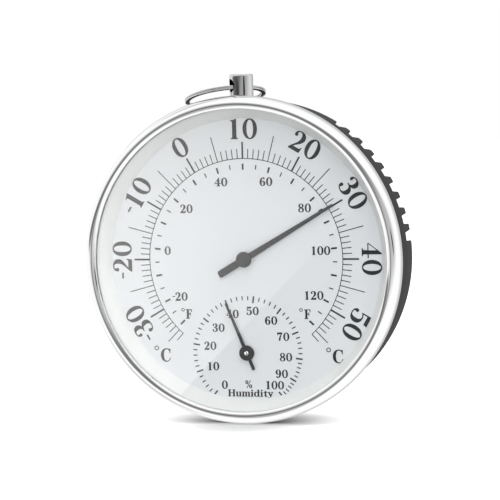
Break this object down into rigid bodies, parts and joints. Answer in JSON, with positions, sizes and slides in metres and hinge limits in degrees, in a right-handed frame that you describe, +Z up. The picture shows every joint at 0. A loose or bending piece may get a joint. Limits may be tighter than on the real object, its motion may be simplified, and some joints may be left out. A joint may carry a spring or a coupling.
{
  "type": "thermo-hygrometer",
  "caption": "Round wall dial thermo-hygrometer: notched drum case, chrome bezel, temperature and humidity scales with coil-driven pointers, and a top stud with a split ring.",
  "frame": {"origin": "centre of the rear rim's circle, on the plane that lies against a wall", "axes": "+X right as seen from the front, +Y back into the wall along the dial's axis, +Z up towards the hanger stud"},
  "size_m": [0.102, 0.0294, 0.1085],
  "materials": {
    "case_plastic": "fine matte charcoal",
    "bezel_chrome": "polished",
    "glass": "clear",
    "gasket_rubber": "matte",
    "surround_plastic": "satin off-white",
    "printed_dial": "satin pale blue-grey with dark grey print",
    "plate_metal": "brushed",
    "screw_steel": "bright",
    "bridge_brass": "stamped",
    "bush_brass": "turned",
    "bimetal": "rolled strip",
    "humidity_strip": "coated strip",
    "arbor_steel": "turned",
    "pin_metal": "turned, pale",
    "pointer_grey": "satin dark grey",
    "pointer_black": "satin black",
    "hanger_chrome": "polished",
    "washer_steel": "bright"
  },
  "bodies": {
    "case": {"case_shell": "case_plastic", "bezel_ring": "bezel_chrome", "lens": "glass", "lens_gasket": "gasket_rubber", "dial_surround": "surround_plastic", "dial_plate": "printed_dial", "movement_plate": "plate_metal", "movement_plate_screws": "screw_steel", "thermometer_bridge": "bridge_brass", "thermometer_bridge_screws": "screw_steel", "thermometer_front_bush": "bush_brass", "thermometer_rear_bush": "bush_brass", "thermometer_coil_post": "screw_steel", "thermometer_coil": "bimetal", "hygrometer_bridge": "bridge_brass", "hygrometer_bridge_screws": "screw_steel", "hygrometer_front_bush": "bush_brass", "hygrometer_rear_bush": "bush_brass", "hygrometer_coil_post": "screw_steel", "hygrometer_coil": "humidity_strip", "hanger_stud": "hanger_chrome", "hanger_washer": "washer_steel"},
    "temperature_needle": {"temperature_arbor": "arbor_steel", "temperature_collet": "bush_brass", "temperature_pointer": "pointer_grey", "temperature_pointer_cap": "pointer_grey"},
    "humidity_needle": {"humidity_arbor": "pin_metal", "humidity_collet": "bush_brass", "humidity_pointer": "pointer_black"},
    "ring": {"hanging_ring": "hanger_chrome"}
  },
  "joints": [
    {"name": "temperature_turn", "type": "hinge", "parent": "case", "child": "temperature_needle", "pos_m": [0, 0, 0], "axis": [0, 1, 0], "range_deg": [-197.8, 78.2], "stiffness_Nm_per_rad": 0.002, "deforming": ["thermometer_coil"]},
    {"name": "humidity_turn", "type": "hinge", "parent": "case", "child": "humidity_needle", "pos_m": [0, 0, -0.0293], "axis": [0, 1, 0], "range_deg": [-117.2, 163.6], "stiffness_Nm_per_rad": 0.001, "deforming": ["hygrometer_coil"]},
    {"name": "ring_swing", "type": "hinge", "parent": "case", "child": "ring", "pos_m": [0, -0.0173, 0.05395], "axis": [0.766, 0.6428, 0], "range_deg": [0, 214]}
  ]
}
